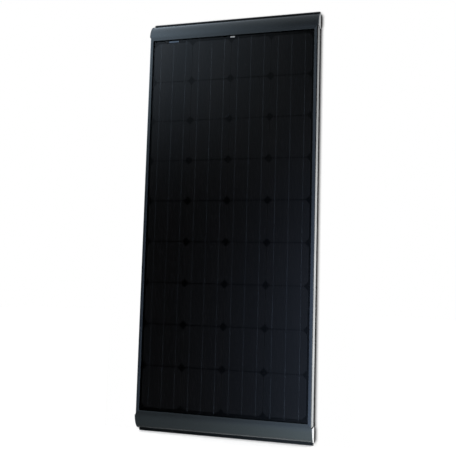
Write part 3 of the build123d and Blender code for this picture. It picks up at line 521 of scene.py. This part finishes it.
def studio_soft_boxes():
    """Dome round the studio: evenly white for diffuse light, soft boxes in a dim room for reflections."""
    s = Shader("soft_boxes")
    back = s.node("ShaderNodeNewGeometry").outputs["Incoming"]
    # A soft box has a direction from the panel, a tint, a wide and a tight angle in degrees, and a strength.
    patches = [
        tall_box(s, back, SIDE_LIGHT, 3.0, 1.5),
        soft_box(s, back, (-0.20, -1.0, 0.30), (0.95, 1.0, 1.0), 10, 0, 0.12),
        soft_box(s, back, (0.25, -1.0, -0.15), FRONT_LIGHT, 38, 12, 1.6, fall=3.0),
        soft_box(s, back, (0.0, 0.2, 1.0), PALE_LIGHT, 64, 20, 0.3),
        soft_box(s, back, (0.25, 1.0, -0.35), WHITE, 48, 22, 2.3),
        soft_box(s, back, (1.0, -0.2, -0.6), PALE_LIGHT, 48, 20, 1.4, fall=1.5),
        floor_glow(s, back, (0.85, 0.98, 1.05)),
    ]
    total = (0.012, 0.012, 0.012)
    for patch in patches:
        total = s.plus(total, patch)
    glow = s.node("ShaderNodeEmission")
    even = s.node("ShaderNodeLightPath").outputs["Is Diffuse Ray"]
    s.feed(glow.inputs["Color"], s.blend(even, total, WHITE))
    s.show(glow.outputs[0])
    s.owner.cycles.emission_sampling = "NONE"
    sphere = bmesh.new()
    bmesh.ops.create_icosphere(sphere, subdivisions=4, radius=1.2 * STUDIO_RADIUS)
    mesh = bpy.data.meshes.new("studio_soft_boxes")
    sphere.to_mesh(mesh)
    sphere.free()
    add_studio_piece("studio_soft_boxes", mesh, s.owner, "camera", "transmission", "volume_scatter", "shadow")


def studio_floor():
    """Pale round floor that fades into the white surround."""
    s = Shader("floor_paint")
    speck = s.noise(35.0)
    s.surface(Base_Color=s.blend(speck, (0.93, 0.93, 0.93), (0.97, 0.97, 0.97)), Roughness=0.9,
              Specular_IOR_Level=0.0, Normal=s.bump(speck, 0.5 * MM, 0.1),
              Emission_Color=WHITE, Emission_Strength=0.20)
    sides = 64
    turn = 2 * math.pi / sides
    rim = [(STUDIO_RADIUS * math.cos(i * turn), STUDIO_RADIUS * math.sin(i * turn), 0) for i in range(sides)]
    mesh = bpy.data.meshes.new("studio_floor")
    mesh.from_pydata(rim, [], [tuple(range(sides))])
    add_studio_piece("studio_floor", mesh, s.owner, "glossy", "diffuse", "shadow")


def studio_card():
    """White card against the rear plane, seen only from the front.

    It carries the contact shadow beside the panel: it is darker where the panel hides more of the room.
    """
    s = Shader("card_paper")
    near = s.node("ShaderNodeAmbientOcclusion", samples=16)
    near.inputs["Distance"].default_value = SHADOW_REACH
    open_share = s.remap(near.outputs["AO"], 0.62, 0.93, 0.01, 1.0)
    glow = s.node("ShaderNodeEmission")
    s.feed(glow.inputs["Color"], s.blend(open_share, BLACK, WHITE))
    faces = s.node("ShaderNodeMixShader")
    s.feed(faces.inputs[0], s.node("ShaderNodeNewGeometry").outputs["Backfacing"])
    s.feed(faces.inputs[1], glow.outputs[0])
    s.feed(faces.inputs[2], s.node("ShaderNodeBsdfTransparent").outputs[0])
    s.show(faces.outputs[0])
    s.owner.cycles.emission_sampling = "NONE"
    low, high = CAD_BOX
    left, right, top = low.x - CARD_MARGIN, high.x + CARD_MARGIN, high.z + CARD_MARGIN
    outline = [(x, high.y, z) for x, z in ((left, 0), (right, 0), (right, top), (left, top))]
    mesh = bpy.data.meshes.new("studio_card")
    mesh.from_pydata(outline, [], [tuple(range(len(outline)))])
    add_studio_piece("studio_card", mesh, s.owner, "glossy", "diffuse", "shadow")


def studio_lamp(name, place, aim, size, power):
    """Round lamp that is left out of reflections."""
    light = bpy.data.lights.new(name, "AREA")
    light.shape = "DISK"
    light.size = size
    light.energy = power
    lamp = add_object(name, light)
    lamp.location = place
    lamp.rotation_euler = (Vector(aim) - Vector(place)).to_track_quat("-Z", "Y").to_euler()
    lamp.visible_glossy = False


def studio_camera():
    """Camera right of and below the middle of the panel, turned left and slightly up."""
    lens = bpy.data.cameras.new("camera")
    lens.sensor_width = 36.0
    lens.lens = 53.3
    aside, away, below = 0.7107, 2.4329, 0.2605
    place = Vector((aside, CELL_FACE_Y - away, CENTRE_Z - below))
    right = Vector((0.96102, 0.27497, 0.02877))
    up = Vector((-0.00215, -0.09663, 0.99532))
    turn = Matrix((right, up, right.cross(up))).transposed()
    camera = add_object("camera", lens)
    camera.matrix_world = Matrix.Translation(place) @ turn.to_4x4()
    bpy.context.scene.camera = camera


dress_frame()
dress_laminate()
dress_small_parts()
laminate_front()
studio_world()
studio_soft_boxes()
studio_floor()
studio_card()
studio_lamp("key", place=(-2.2, -2.6, 3.4), aim=(0, 0, 0.6), size=1.8, power=90.0)
studio_camera()
bpy.context.scene.view_settings.view_transform = "Standard"
